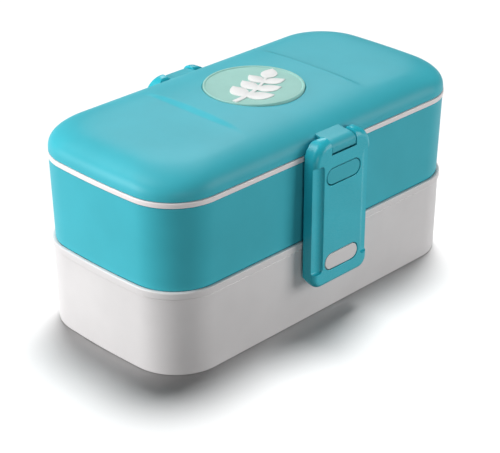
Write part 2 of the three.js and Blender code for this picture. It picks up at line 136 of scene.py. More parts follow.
RECESS_HIGH = 77.5 - PIVOT_HEIGHT
RECESS_RADIUS = 2.0
RECESS_LIP = 0.25
KNUCKLE_HALF = 7.35
KNUCKLE_GAP = 0.45
KNUCKLE_SWEEP = 5.02
KNUCKLE_FRONT = 3.9
KNUCKLE_TOP = 3.0
KNUCKLE_ARM_TOP = 3.7
KNUCKLE_BASE = 2.55
KNUCKLE_ROOT = 44.2
KNUCKLE_EDGE = 0.35

CATCH_HEIGHTS = {"upper": 71.0, "lower": 30.2}
CATCH_HALF_WIDTH = 10.35
CATCH_RADIUS = 3.65
CATCH_FACE = -UPPER_LOW[1]
CATCH_ROOT = 44.2
CATCH_EDGE = 0.3
WINDOW_GAP = 0.45
WINDOW_EDGE = 0.2
LIP_STRAIGHT = 0.5
LIP_SLOPE = 1.3


# ---- Tiers and sealing lids: distances out from the box's side, and heights ----
FLAT_INSET = 14.0

LOWER_UNDERCUT = 0.8
LOWER_FOOT_INSET = 13.2
LOWER_BOTTOM_OUT = -0.32
LOWER_TOP_OUT = 0.1
LOWER_WALL = 2.0
LOWER_INSIDE_OUT = -2.98
LOWER_FLOOR = 2.6

UPPER_FOOT_OUT = -1.3
UPPER_STEP_OUT = -0.75
UPPER_TOP_OUT = 0.2
UPPER_WALL = 1.8
UPPER_INSIDE_OUT = -3.12
UPPER_FLOOR = 40.2

SKIRT_THICKNESS = 3.5
GROOVE_DEPTH = 1.5
GROOVE_HEIGHT = 2.8
GROOVE_LIFT = 1.4
MIDDLE_SKIRT_OUT = -2.4
MIDDLE_SKIRT_BOTTOM = 30.7
MIDDLE_UNDERSIDE = 36.4
MIDDLE_LIP_INSIDE = -0.95
INNER_SKIRT_OUT = -2.1
INNER_SKIRT_BOTTOM = 72.2
INNER_UNDERSIDE = 76.4
BEAD_OUTSIDE = -2.3
BEAD_INSIDE = -4.2

REST_AT = 45.0
REST_HALF_WIDTH = 2.0
REST_HALF_LENGTH = 37.0
REST_TOP = 79.6
VENT_HOLE_RADIUS = 3.3
VENT_CHAMFER = 0.5
VENT_X = (VENT_LOW[0] + VENT_HIGH[0]) / 2
PLUG_STEM = 2.95
PLUG_HEAD = 5.45
PLUG_HEAD_BOTTOM = 78.35
LATHE_CORE = 0.05

DIVIDER_HALF_THICKNESS = 0.8
DIVIDER_CHAMFER = (3.0, 3.2)
DIVIDER_FOOT_HALF = 5.0
DIVIDER_FOOT_HEIGHT = 1.4


# ---- Outlines and profiles ----
# Steps along a quarter's end, corner and side. HAIR keeps neighbouring points apart, and LONGEST_CUT is
# the share of a line that a rounded corner may take.
OUTLINE_STEPS = (5, 20, 10)
COVER_STEPS = (14, 36, 80)
BISECTIONS = 40
INSIDE_RINGS, INSIDE_TURN = 18, 84
SHOULDER_RINGS, SHOULDER_TURN = 34, 62
TOP_RINGS = 80
HAIR = 0.01
LONGEST_CUT = 0.48


def arc(cx, cy, radius, start, stop, steps):
    """Points on an arc, both ends included, angles in radians."""
    angles = np.linspace(start, stop, steps + 1)
    return np.column_stack([cx + radius * np.cos(angles), cy + radius * np.sin(angles)])


def mirrored(quadrant):
    """A whole outline from its first quadrant, which runs from the +X axis to the +Y axis."""
    left = (quadrant[:-1] * [-1, 1])[::-1]
    half = np.vstack([quadrant, left])
    return np.vstack([half, -half[1:-1]])


def plan_outline(half_length, half_width, radius, end_radius, steps):
    """The box in plan: straight long sides, round corners and slightly bowed ends.

    steps is how many steps a quarter takes along its end, its corner and its side.
    """
    end_steps, corner_steps, side_steps = steps
    corner_y = half_width - radius
    end_x = half_length - end_radius
    corner_x = end_x + math.sqrt((end_radius - radius) ** 2 - corner_y**2)
    turn = math.atan2(corner_y, corner_x - end_x)
    end = arc(end_x, 0, end_radius, 0, turn, end_steps)
    corner = arc(corner_x, corner_y, radius, turn, math.pi / 2, corner_steps)
    side_x = np.linspace(corner_x, 0, side_steps + 1)
    side = np.column_stack([side_x, np.full(side_steps + 1, half_width)])
    return mirrored(np.vstack([end[:-1], corner[:-1], side]))


def box_outline(grow, steps=OUTLINE_STEPS):
    """The box's outline, grown outwards by a distance."""
    return plan_outline(
        HALF_LENGTH + grow, HALF_WIDTH + grow, CORNER_RADIUS + grow, END_RADIUS + grow, steps)


def upright_outline(half_width, low, high, low_radius, high_radius, steps=10):
    """An outline in X and Z, symmetric about X = 0, with a corner radius at each end."""
    right = np.vstack([
        arc(half_width - low_radius, low + low_radius, low_radius, -math.pi / 2, 0, steps),
        arc(half_width - high_radius, high - high_radius, high_radius, 0, math.pi / 2, steps),
    ])
    return np.vstack([right, (right * [-1, 1])[::-1]])


def pill_outline(half_width, middle, radius, steps=12):
    """A pill in X and Z. Its ends are a hair less than half circles, so that no two points meet."""
    end = radius - HAIR
    return upright_outline(half_width, middle - radius, middle + radius, end, end, steps)


def round_corner(before, here, after, radius, steps):
    """Points on a smooth curve that cuts the corner at here."""
    back, forth = before - here, after - here
    back_length, forth_length = np.linalg.norm(back), np.linalg.norm(forth)
    back, forth = back / back_length, forth / forth_length
    half_angle = math.acos(np.clip(back @ forth, -1, 1)) / 2
    reach = min(radius / math.tan(half_angle), LONGEST_CUT * back_length, LONGEST_CUT * forth_length)
    start, stop = here + back * reach, here + forth * reach
    shares = np.linspace(0, 1, steps + 1)
    return [(1 - t) ** 2 * start + 2 * t * (1 - t) * here + t**2 * stop for t in shares]


def fillet(points, closed=False, steps=6):
    """A line through (u, v, radius) points with its corners rounded; radius 0 keeps one sharp."""
    flat = [np.array(point[:2], float) for point in points]
    last = len(points) - 1
    result = []
    for i, point in enumerate(points):
        at_end = not closed and i in (0, last)
        if point[2] == 0 or at_end:
            result.append(flat[i])
        else:
            result += round_corner(flat[i - 1], flat[i], flat[(i + 1) % len(points)], point[2], steps)
    return np.array(result)


# ---- Meshes ----
def smooth(mesh, sharp):
    mesh.shade_smooth()
    mesh.set_sharp_from_angle(angle=math.radians(sharp))


def turn_outwards(mesh):
    """Flips a closed mesh whose faces point inwards."""
    mesh.calc_loop_triangles()
    points = np.array([v.co for v in mesh.vertices])
    corners = points[np.array([t.vertices for t in mesh.loop_triangles])]
    volume = np.einsum("ij,ij->i", corners[:, 0], np.cross(corners[:, 1], corners[:, 2])).sum()
    if volume < 0:
        mesh.flip_normals()


def make_object(name, points, faces, sharp=35):
    """A mesh object from points in millimetres, smooth but for edges sharper than an angle."""
    mesh = bpy.data.meshes.new(name)
    mesh.from_pydata((np.asarray(points) * MM).tolist(), [], faces)
    mesh.update()
    turn_outwards(mesh)
    smooth(mesh, sharp)
    obj = bpy.data.objects.new(name, mesh)
    bpy.context.scene.collection.objects.link(obj)
    return obj


def loft(name, rings, closes=False, sharp=35):
    """A skin through rings of points, closed by a face at each end or onto its first ring."""
    count = len(rings[0])
    total = len(rings)
    faces = []
    for r in range(total if closes else total - 1):
        a, b = r * count, ((r + 1) % total) * count
        faces += [(a + i, a + (i + 1) % count, b + (i + 1) % count, b + i) for i in range(count)]
    if not closes:
        faces.append(tuple(reversed(range(count))))
        faces.append(tuple(range((total - 1) * count, total * count)))
    return make_object(name, np.vstack(rings), faces, sharp)


def level(outline, z):
    """A ring at a height from an outline in X and Y."""
    return np.column_stack([outline, np.full(len(outline), z)])


def facing(outline, y):
    """A ring at a depth from an outline in X and Z."""
    return np.column_stack([outline[:, 0], np.full(len(outline), y), outline[:, 1]])


def shell(name, profile, closes=False):
    """The box's outline swept along a profile of (grow, z) points."""
    return loft(name, [level(box_outline(grow), z) for grow, z in profile], closes)


def lathe(name, profile, centre=(0, 0), segments=128, sharp=35):
    """A turned piece about an upright axis, from a profile of (radius, z) points."""
    angles = np.linspace(0, 2 * math.pi, segments, endpoint=False)
    circle = np.column_stack([np.cos(angles), np.sin(angles)])
    return loft(name, [level(circle * radius + centre, z) for radius, z in profile], sharp=sharp)


def round_edge(edge, steps=5):
    """How far in and how far down a round edge goes at each of its steps, from its side to its top."""
    turns = np.linspace(0, math.pi / 2, steps) if edge else [0.0]
    return [(edge * (1 - math.cos(turn)), edge * (1 - math.sin(turn))) for turn in turns]


def side_prism(name, outline, half_width, edge=0.0):
    """An outline in Y and Z swept along X, with its two end edges rounded."""
    outline = np.asarray(outline, float)
    centre = outline.mean(axis=0)
    reach = np.abs(outline - centre).max()
    half = []
    for inset, drop in round_edge(edge):
        ring = centre + (outline - centre) * (1 - inset / reach)
        half.append(np.column_stack([np.full(len(ring), half_width - drop), ring]))
    return loft(name, [ring * [-1, 1, 1] for ring in reversed(half)] + half)


def rod(name, radius, half_width, edge=0.0, segments=64):
    return side_prism(name, arc(0, 0, radius, 0, 2 * math.pi, segments)[1:], half_width, edge)


def block(name, low, high, edge=0.0):
    """A block whose upright and top edges are rounded."""
    half = (np.array(high) - low) / 2
    centre = (np.array(high) + low) / 2
    radius = max(edge, HAIR)
    corner = arc(half[0] - radius, half[1] - radius, radius, 0, math.pi / 2, 5)
    outline = mirrored(corner)
    rings = [level(outline + centre[:2], low[2])]
    for inset, drop in round_edge(edge):
        scale = 1 - inset / half[:2]
        rings.append(level(outline * scale + centre[:2], high[2] - drop))
    return loft(name, rings)


def move(obj, offset=(0, 0, 0), turn=0.0):
    """Turns a piece's points about Z and then shifts them, in millimetres."""
    points = np.array([v.co for v in obj.data.vertices])
    c, s = math.cos(turn), math.sin(turn)
    points = points @ np.array([[c, s, 0], [-s, c, 0], [0, 0, 1]]) + np.array(offset) * MM
    obj.data.vertices.foreach_set("co", points.ravel())
    obj.data.update()
    return obj


def twin(obj, name, offset=(0, 0, 0), turn=0.0):
    """A copy of a piece, turned about Z and then shifted."""
    other = obj.copy()
    other.data = obj.data.copy()
    other.name = name
    bpy.context.scene.collection.objects.link(other)
    return move(other, offset, turn)


def carve(obj, others, operation, sharp=35):
    """Unites, cuts or intersects a piece with others, and uses them up."""
    for other in others:
        modifier = obj.modifiers.new(operation, "BOOLEAN")
        modifier.operation = operation
        modifier.solver = "MANIFOLD"
        modifier.object = other
    depsgraph = bpy.context.evaluated_depsgraph_get()
    result = bpy.data.meshes.new_from_object(obj.evaluated_get(depsgraph))
    obj.modifiers.clear()
    obj.data = result
    for other in others:
        bpy.data.objects.remove(other)
    smooth(result, sharp)
    return obj


def even_normals(obj):
    """Large flat faces keep their own normals next to rounded edges."""
    modifier = obj.modifiers.new("even_normals", "WEIGHTED_NORMAL")
    modifier.keep_sharp = True


def both_sides(obj):
    """A piece at the front and its twin at the rear."""
    return [obj, twin(obj, obj.name + "_rear", turn=math.pi)]


def finish_piece(obj, node, material, body=None, even=True):
    """Gives a piece its surface, hides the CAD node it stands for, and hangs the piece on the body it
    rides on.

    The body has the node's name unless another is given.
    """
    obj.data.materials.clear()
    obj.data.materials.append(material)
    if even:
        even_normals(obj)
    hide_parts(node)
    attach(obj, body or node)


# ---- Tiers ----
def catch_boss(height):
    """A round-edged catch that stands out of a tier's front wall."""
    rings = [facing(pill_outline(CATCH_HALF_WIDTH, height, CATCH_RADIUS), -CATCH_ROOT)]
    for inset, depth in round_edge(CATCH_EDGE, 6):
        outline = pill_outline(CATCH_HALF_WIDTH - inset, height, CATCH_RADIUS - inset)
        rings.append(facing(outline, depth - CATCH_FACE))
    return loft("catch", rings)


def lower_tier():
    """The white tier, with walls that lean out a little and a hollow underside."""
    profile = fillet([
        (-FLAT_INSET, LOWER_UNDERCUT, 0), (-LOWER_FOOT_INSET, 0, 0.5), (LOWER_BOTTOM_OUT, 0, 0.8),
        (LOWER_TOP_OUT, LOWER_TOP, 0.5), (LOWER_TOP_OUT - LOWER_WALL, LOWER_TOP, 0.5),
        (LOWER_INSIDE_OUT, LOWER_FLOOR, 3.9), (-FLAT_INSET, LOWER_FLOOR, 0),
    ])
    body = shell("lower_tier_body", profile)
    return carve(body, both_sides(catch_boss(CATCH_HEIGHTS["lower"])), "UNION")


def upper_tier():
    """The teal tier, with a foot that sits inside the middle lid's rim."""
    profile = fillet([
        (-FLAT_INSET, UPPER_BOTTOM, 0), (UPPER_FOOT_OUT, UPPER_BOTTOM, 0.9),
        (UPPER_FOOT_OUT, RIM_TOP + GAP, 0), (UPPER_STEP_OUT, RIM_TOP + GAP, 0.25),
        (UPPER_TOP_OUT, UPPER_TOP, 0.4), (UPPER_TOP_OUT - UPPER_WALL, UPPER_TOP, 0.4),
        (UPPER_INSIDE_OUT, UPPER_FLOOR, 4.2), (-FLAT_INSET, UPPER_FLOOR, 0),
    ])
    body = shell("upper_tier_body", profile)
    return carve(body, both_sides(catch_boss(CATCH_HEIGHTS["upper"])), "UNION")


# ---- Sealing lids ----
def groove(side, bottom):
    """The seal groove's inmost distance, its low and its high edge, for a skirt's side and bottom."""
    low = bottom + GROOVE_LIFT
    return side - GROOVE_DEPTH, low, low + GROOVE_HEIGHT


def skirt(side, bottom, underside):
    """The profile of a sealing lid below its flange, for fillet: a skirt with a groove for its seal."""
    inside = side - SKIRT_THICKNESS
    deep, low, high = groove(side, bottom)
    return [
        (-FLAT_INSET, underside, 0), (inside, underside, 0.3), (inside, bottom, 0.4), (side, bottom, 0.4),
        (side, low, 0.15), (deep, low, 0), (deep, high, 0), (side, high, 0.15),
    ]


def middle_lid():
    """The lower tier's lid, whose rim holds the upper tier's foot."""
    profile = fillet(skirt(MIDDLE_SKIRT_OUT, MIDDLE_SKIRT_BOTTOM, MIDDLE_UNDERSIDE) + [
        (MIDDLE_SKIRT_OUT, RIM_BOTTOM, 0), (RIM_PROUD, RIM_BOTTOM, 0.25), (RIM_PROUD, RIM_TOP, 1.0),
        (MIDDLE_LIP_INSIDE, RIM_TOP, 0.25), (MIDDLE_LIP_INSIDE, RIM_PANEL_TOP, 0.2),
        (-FLAT_INSET, RIM_PANEL_TOP, 0),
    ])
    return shell("middle_lid_body", profile)


def cutlery_rest(x):
    """A low bar across the tray that the cutlery lies on."""
    low = (x - REST_HALF_WIDTH, -REST_HALF_LENGTH, TRAY_FLOOR - 0.6)
    return block("rest", low, (x + REST_HALF_WIDTH, REST_HALF_LENGTH, REST_TOP), 0.7)


def inner_lid():
    """The upper tier's lid: a cutlery tray with a bead round it, two rests and a vent hole."""
    profile = fillet(skirt(INNER_SKIRT_OUT, INNER_SKIRT_BOTTOM, INNER_UNDERSIDE) + [
        (INNER_SKIRT_OUT, BAND_BOTTOM, 0), (BAND_PROUD, BAND_BOTTOM, 0.4), (BAND_PROUD, BAND_TOP, 0.5),
        (BEAD_OUTSIDE, BAND_TOP, 0.2), (BEAD_OUTSIDE, TRAY_BEAD_TOP, 0.7),
        (BEAD_INSIDE, TRAY_BEAD_TOP, 0.7), (BEAD_INSIDE, TRAY_FLOOR, 1.0), (-FLAT_INSET, TRAY_FLOOR, 0),
    ])
    tray = shell("inner_lid_tray", profile)
    carve(tray, [cutlery_rest(x) for x in (-REST_AT, REST_AT)], "UNION")
    mouth = VENT_HOLE_RADIUS + VENT_CHAMFER
    hole = lathe("hole", [
        (VENT_HOLE_RADIUS, INNER_SKIRT_BOTTOM - 2.2), (VENT_HOLE_RADIUS, TRAY_FLOOR - 0.3),
        (mouth, TRAY_FLOOR + 0.3), (mouth, TRAY_FLOOR + 12),
    ], (VENT_X, 0), 48)
    return carve(tray, [hole], "DIFFERENCE")


def bulging_section(steps, across_power, upright_power):
    """A closed section between an ellipse (powers of 1) and a square (powers of 0)."""
    turns = np.linspace(0, 2 * math.pi, steps, endpoint=False)
    across = np.sign(np.cos(turns)) * np.abs(np.cos(turns)) ** across_power
    upright = np.sign(np.sin(turns)) * np.abs(np.sin(turns)) ** upright_power
    return across, upright


def seal(name, side, bottom, proud):
    """A soft ring in the groove of a skirt, standing a little proud of the skirt's side."""
    deep, groove_low, groove_high = groove(side, bottom)
    low = np.array([deep + GAP, groove_low + GAP])
    high = np.array([side + proud, groove_high - GAP])
    section = np.column_stack(bulging_section(20, 0.6, 0.6)) * (high - low) / 2 + (high + low) / 2
    return shell(name, section, closes=True)


def vent_plug():
    """A push-in plug with a domed button and a finger dimple."""
    low, high = VENT_LOW[2], VENT_HIGH[2]
    dimple = high - 0.5
    profile = fillet([
        (LATHE_CORE, low, 0), (PLUG_STEM, low, 0.4), (PLUG_STEM, PLUG_HEAD_BOTTOM, 0.2),
        (PLUG_HEAD, PLUG_HEAD_BOTTOM, 0.4), (PLUG_HEAD, high, 1.4),
        (3.4, high, 0.4), (2.9, dimple, 0.4), (LATHE_CORE, dimple, 0),
    ])
    return lathe("vent_plug_button", profile, (VENT_X, 0), 64)


# ---- Dividers ----
def divider(name, node, low_half, high_half):
    """An upright wall across a tier, on a flat foot.

    It reaches low_half to each side near the floor and high_half at the top.
    """
    low, high = node_box(node)
    floor, top = low[2], high[2]
    middle = (low[0] + high[0]) / 2
    foot_half = low_half - DIVIDER_CHAMFER[0]
    bend_half, bend = low_half - GAP, floor + DIVIDER_CHAMFER[1]
    wall = fillet([
        (-foot_half, floor, 0.5), (foot_half, floor, 0.5), (bend_half, bend, 1.5),
        (high_half, top - HAIR, 3), (-high_half, top - HAIR, 3), (-bend_half, bend, 1.5),
    ], closed=True)
    body = side_prism(name, wall, DIVIDER_HALF_THICKNESS, 0.5)
    foot_low = (-DIVIDER_FOOT_HALF, 0.5 - foot_half, floor)
    foot_high = (DIVIDER_FOOT_HALF, foot_half - 0.5, floor + DIVIDER_FOOT_HEIGHT)
    return move(carve(body, [block("foot", foot_low, foot_high, 0.7)], "UNION"), (middle, 0, 0))


# ---- Cover ----
def dome_corner(reach, inset):
    """The half width and corner radius of the dome's plan, rounder towards its ridge."""
    width = HALF_WIDTH + inset
    half_width = width * reach
    roundness = (CORNER_RADIUS + inset) / width
    return half_width, half_width * (roundness + (RIDGE_ROUNDNESS - roundness) * (1 - reach))


def dome_outline(reach, inset):
    """The dome in plan, from its edge (reach 1) to its ridge (reach 0)."""
    half_width, radius = dome_corner(reach, inset)
    half_length = HALF_LENGTH - HALF_WIDTH + half_width
    return plan_outline(half_length, half_width, radius, END_RADIUS, COVER_STEPS)


def outside_dome(x, y, reach):
    """How far points of the first quadrant lie outside the dome's plan; below 0 is inside it."""
    half_width, radius = dome_corner(reach, COVER_PROUD)
    corner_y = half_width - radius
    end_x = HALF_LENGTH - HALF_WIDTH + half_width - END_RADIUS
    corner_x = end_x + np.sqrt((END_RADIUS - radius) ** 2 - corner_y**2)
    in_corner = (x > corner_x) & ((y - corner_y) * (corner_x - end_x) > (x - corner_x) * corner_y)
    by_corner = np.hypot(x - corner_x, y - corner_y) - radius
    by_sides = np.maximum(y - half_width, np.hypot(x - end_x, y) - END_RADIUS)
    return np.where(in_corner, by_corner, by_sides)


def dome_reach(x, y):
    """The reach at which the dome's plan passes through each point."""
    low, high = np.zeros(len(x)), np.ones(len(x))
    for _ in range(BISECTIONS):
        middle = (low + high) / 2
        outside = outside_dome(np.abs(x), np.abs(y), middle) > 0
        low = np.where(outside, middle, low)
        high = np.where(outside, high, middle)
    return high


def soft_minimum(a, b, blend):
    """The lower of two heights, with a rounded change from one to the other."""
    share = np.clip(0.5 + 0.5 * (b - a) / blend, 0, 1)
    return b + (a - b) * share - blend * share * (1 - share)


def smooth_step(value):
    """A soft rise from 0 to 1 as the value goes from 0 to 1."""
    value = np.clip(value, 0, 1)
    return value * value * (3 - 2 * value)


def dome_rise(reach):
    """The dome's height at a reach, from 0 at its edge to 1 at its ridge."""
    return (1 - reach**DOME_POWER) ** (1 / DOME_POWER)


def cover_height(x, y):
    """The cover's outside: a dome with a raised middle band and a lower panel at each end."""
    dome = DOME_BASE + (COVER_CROWN - DOME_BASE) * dome_rise(dome_reach(x, y))
    along = np.abs(x)
    panel = PANEL_TOP - PANEL_DROP * (along - STEP_AT) / (HALF_LENGTH - STEP_AT)
    lowered = soft_minimum(dome, panel, PANEL_BLEND)
    share = smooth_step((along - STEP_AT) / STEP_WIDTH + 0.5)
    return dome + (lowered - dome) * share


def on_cover(plan):
    """A ring that lies on the cover's outside, from its plan."""
    return np.column_stack([plan, cover_height(plan[:, 0], plan[:, 1])])


def dome_reaches(count, last):
    """Reaches that give evenly turning rings from a dome's edge up to an angle in degrees."""
    return [math.cos(a) ** (2 / DOME_POWER) for a in np.linspace(0, math.radians(last), count)]


def cover_inside():
    """Rings of the cover's hollow, from its ceiling down to its edge."""
    base = COVER_BOTTOM + 1.5
    reaches = reversed(dome_reaches(INSIDE_RINGS, INSIDE_TURN))
    return [
        level(dome_outline(reach, -COVER_WALL), base + (COVER_INSIDE - base) * dome_rise(reach))
        for reach in reaches]


def cover_edge():
    """Rings round the cover's lower edge, from its inside to its outside."""
    profile = fillet([
        (-COVER_WALL, COVER_BOTTOM + 0.9, 0), (-COVER_WALL, COVER_BOTTOM, 0.3),
        (COVER_PROUD, COVER_BOTTOM, 0.28), (COVER_PROUD, DOME_BASE + HAIR, 0),
    ], steps=4)
    return [level(box_outline(grow, COVER_STEPS), z) for grow, z in profile]


def cover_top(start):
    """Rings from an outline of the dome inwards to the badge's seat and down its round edge."""
    far = np.hypot(start[:, 0], start[:, 1])
    ray = start / far[:, None]
    near = SEAT_RADIUS + SEAT_EDGE
    rings = []
    for share in np.linspace(1, 0, TOP_RINGS)[1:]:
        distance = near + (far - near) * share
        rings.append(on_cover(ray * distance[:, None]))
    for inset, drop in ((0.12, 0.03), (0.2, 0.1), (SEAT_EDGE, SEAT_EDGE)):
        rings.append(on_cover(ray * (near - inset)) - [0, 0, drop])
    return rings + [level(ray * SEAT_RADIUS, BADGE_LOW[2] - GAP)]


def cover_skin():
    """The cover without its knuckles, as one closed skin."""
    shoulder = dome_reaches(SHOULDER_RINGS, SHOULDER_TURN)
    outside = [on_cover(dome_outline(reach, COVER_PROUD)) for reach in shoulder[1:]]
    top = cover_top(dome_outline(shoulder[-1], COVER_PROUD))
    return loft("cover_skin", cover_inside() + cover_edge() + outside + top, sharp=50)


def knuckle():
    """An arm from the cover's side that holds the hinge pin between the latch's ears."""
    front = arc(0, 0, 1, math.pi, math.pi / 2, 16) * [KNUCKLE_FRONT, KNUCKLE_TOP]
    root = PIVOT_OUT - KNUCKLE_ROOT
    side = [
        (root, -KNUCKLE_BASE), (0.5 - KNUCKLE_FRONT, -KNUCKLE_BASE), (-KNUCKLE_FRONT, -2), *front,
        (2.7, KNUCKLE_TOP + 0.1), (6.1, KNUCKLE_ARM_TOP), (7.7, KNUCKLE_ARM_TOP),
        (root + 1, 2.1), (root + 0.2, 0.1),
    ]
    arm = side_prism("knuckle", side, KNUCKLE_HALF, KNUCKLE_EDGE)
    return move(arm, (0, -PIVOT_OUT, PIVOT_HEIGHT))


def cover():
    """The domed cover with a bored knuckle on each long side."""
    skin = carve(cover_skin(), both_sides(knuckle()), "UNION", 50)
    bore = move(rod("bore", PIN_RADIUS + GAP, KNUCKLE_HALF + 1), (0, -PIVOT_OUT, PIVOT_HEIGHT))
    return carve(skin, both_sides(bore), "DIFFERENCE", 50)


# ---- Badge ----
def badge():
    """A disc with a low rim."""
    bottom, top = BADGE_LOW[2], BADGE_HIGH[2]
    inside = BADGE_RADIUS - BADGE_RIM_WIDTH
    profile = fillet([
        (LATHE_CORE, bottom, 0), (BADGE_RADIUS, bottom, 0.2), (BADGE_RADIUS, top, 0.35),
        (inside, top, 0.25), (inside - BADGE_RIM_SLOPE, BADGE_FACE, 0.3), (inside - 1.5, BADGE_FACE, 0),
        (LATHE_CORE, BADGE_FACE, 0),
    ])
    return lathe("badge_disc", profile, segments=192)


def leaf(start, angle, length, bulge):
    """A domed leaf from its base point, with a sharp lower edge sunk a little into the badge."""
    t = np.linspace(0, 1, 15)
    along = t * (2 * LEAF_FULLEST * (1 - t) + t) * length
    upper = np.column_stack([along, 2 * t * (1 - t) * bulge])
    outline = np.vstack([upper, (upper[1:-1] * [1, -1])[::-1]])
    spine = np.column_stack([outline[:, 0] * 0.9 + 0.05 * length, outline[:, 1] * 0])
    c, s = math.cos(angle), math.sin(angle)
    turned = np.array([[c, s], [-s, c]])
    height = EMBLEM_HIGH[2] - BADGE_FACE
    rings = [level(outline @ turned + start, BADGE_FACE - EMBLEM_SINK)]
    for share in (0, 0.06, 0.16, 0.32, 0.55, 0.8):
        plan = outline + (spine - outline) * share
        rise = LEAF_EDGE_HEIGHT + (1 - LEAF_EDGE_HEIGHT) * math.sin(share * math.pi / 1.6)
        rings.append(level(plan @ turned + start, BADGE_FACE + height * rise))
    return loft("leaf", rings, sharp=40)


def stem_point(share):
    """A point on the stem's curve, from its foot to its tip."""
    return np.array([-14.6 + 22 * share, -5.5 + 7 * share * share])


def stem():
    """The sprig's stem, which narrows towards its tip."""
    shares = np.linspace(0, 1, 24)
    middle = np.array([stem_point(share) for share in shares])
    half = np.column_stack([0 * shares, 0.85 - 0.4 * shares])
    outline = np.vstack([middle + half, (middle - half)[::-1]])
    return loft("emblem_sprig", [
        level(outline, BADGE_FACE - EMBLEM_SINK), level(outline, EMBLEM_HIGH[2] - 0.08)])


def emblem():
    """A sprig: a curved stem with leaves in pairs and one at its tip."""
    sprig = stem()
    leaves = [leaf(stem_point(0.97), 0.5, 9, 5.6)]
    for share in LEAF_PAIRS:
        length = 10.5 - 3 * share
        for angle in (1.15 + 0.3 * share, -0.75 + 0.4 * share):
            leaves.append(leaf(stem_point(share), angle, length, length * LEAF_BULGE))
    carve(sprig, leaves, "UNION", 40)
    sprig.data.transform(Matrix.Diagonal((EMBLEM_SPREAD, EMBLEM_SPREAD, 1, 1)))
    return sprig


# ---- Latch, around its own hinge axis ----
def latch_plan(steps=20):
    """The latch's front outline, its inward directions, and how broadly each point's edge is rounded."""
    low = (LATCH_HALF_WIDTH - LATCH_FOOT_RADIUS, LATCH_FOOT + LATCH_FOOT_RADIUS)
    high = (LATCH_HALF_WIDTH - LATCH_TOP_RADIUS, LATCH_FACE - LATCH_TOP_RADIUS)
    foot = np.linspace(-math.pi / 2, 0, steps + 1)
    top = np.linspace(0, math.pi / 2, steps + 1)
    turns = np.concatenate([foot, top])
    outward = np.column_stack([np.cos(turns), np.sin(turns)])
    count = steps + 1
    centres = np.vstack([np.tile(low, (count, 1)), np.tile(high, (count, 1))])
    radii = np.concatenate([np.full(count, LATCH_FOOT_RADIUS), np.full(count, LATCH_TOP_RADIUS)])
    share = smooth_step(np.concatenate([np.zeros(count), top / (math.pi / 2)]))
    edge = LATCH_EDGE + (LATCH_FACE - LATCH_EDGE) * share
    right = centres + outward * radii[:, None]
    outline = np.vstack([right, (right * [-1, 1])[::-1]])
    inward = -np.vstack([outward, (outward * [-1, 1])[::-1]])
    return outline, inward, np.concatenate([edge, edge[::-1]])


def latch_front():
    """The latch seen from the front, with a round edge that rolls over broadly at the top."""
    outline, inward, edge = latch_plan()
    rings = [facing(outline, LATCH_BACK + 0.5)]
    for turn in np.linspace(0, math.pi / 2, 12):
        plan = outline + inward * (edge * (1 - math.cos(turn)))[:, None]
        depth = edge * (1 - math.sin(turn)) - LATCH_FACE
        rings.append(np.column_stack([plan[:, 0], depth, plan[:, 1]]))
    return loft("latch_front", rings)


def latch_side():
    """A side view that trims the latch's front body: a round back at the hinge, and a slanted foot."""
    back_turn = -math.acos(LATCH_BACK / LATCH_FACE)
    outline = np.vstack([
        [(-LATCH_FACE - 1, LATCH_FOOT - 1), (-LATCH_FACE - 1, LATCH_FACE + 1), (-0.01, LATCH_FACE + 1)],
        arc(0, 0, LATCH_FACE + 0.001, math.pi / 2, back_turn, 32), [(LATCH_BACK, LATCH_FOOT_BACK)],
    ])
    return side_prism("latch_side", outline, LATCH_HALF_WIDTH + 1)


def latch_window(height):
    """A cutter for a catch's window: a round front edge, and a lower lip that falls away behind."""
    middle = height - PIVOT_HEIGHT
    radius = CATCH_RADIUS + WINDOW_GAP
    half_width = CATCH_HALF_WIDTH + WINDOW_GAP

    def ring(grow, drop, y):
        low, high = middle - radius - drop - grow, middle + radius + grow
        end = radius + grow - HAIR
        return facing(upright_outline(half_width + grow, low, high, end, end, 12), y)

    rings = [ring(WINDOW_EDGE, 0, -LATCH_FACE - 2)]
    rings += [ring(grow, 0, depth - LATCH_FACE) for depth, grow in round_edge(WINDOW_EDGE, 6)]
    drop = LIP_SLOPE * (LATCH_PLATE - LIP_STRAIGHT)
    back = LATCH_PLATE - LATCH_FACE
    rings += [ring(0, 0, LIP_STRAIGHT - LATCH_FACE), ring(0, drop, back), ring(0, drop, back + 1)]
    return loft("window", rings)


def latch_recess(side):
    """A cutter for the recess along one long edge, open to its side, with a hollow round wall."""
    reach = (LATCH_HALF_WIDTH - RECESS_INSIDE) / 2 + RECESS_SLOPE + 1
    steps = [(-RECESS_LIP, -RECESS_LIP, -2.0), (-RECESS_LIP, -RECESS_LIP, 0.0)]
    for turn in np.linspace(0, math.pi / 2, 14):
        fall = 1 - math.cos(turn)
        depth = RECESS_LIP + (RECESS_DEPTH - RECESS_LIP) * math.sin(turn)
        steps.append((RECESS_SLOPE * fall, RECESS_END_SLOPE * fall, depth))
    rings = []
    for inset, end_inset, depth in steps:
        radius = max(RECESS_RADIUS - end_inset, 0.1)
        outline = upright_outline(
            reach - inset, RECESS_LOW + end_inset, RECESS_HIGH - end_inset, radius, radius)
        rings.append(facing(outline, depth - LATCH_FACE))
    return move(loft("recess", rings), (side * (RECESS_INSIDE + reach), 0, 0))


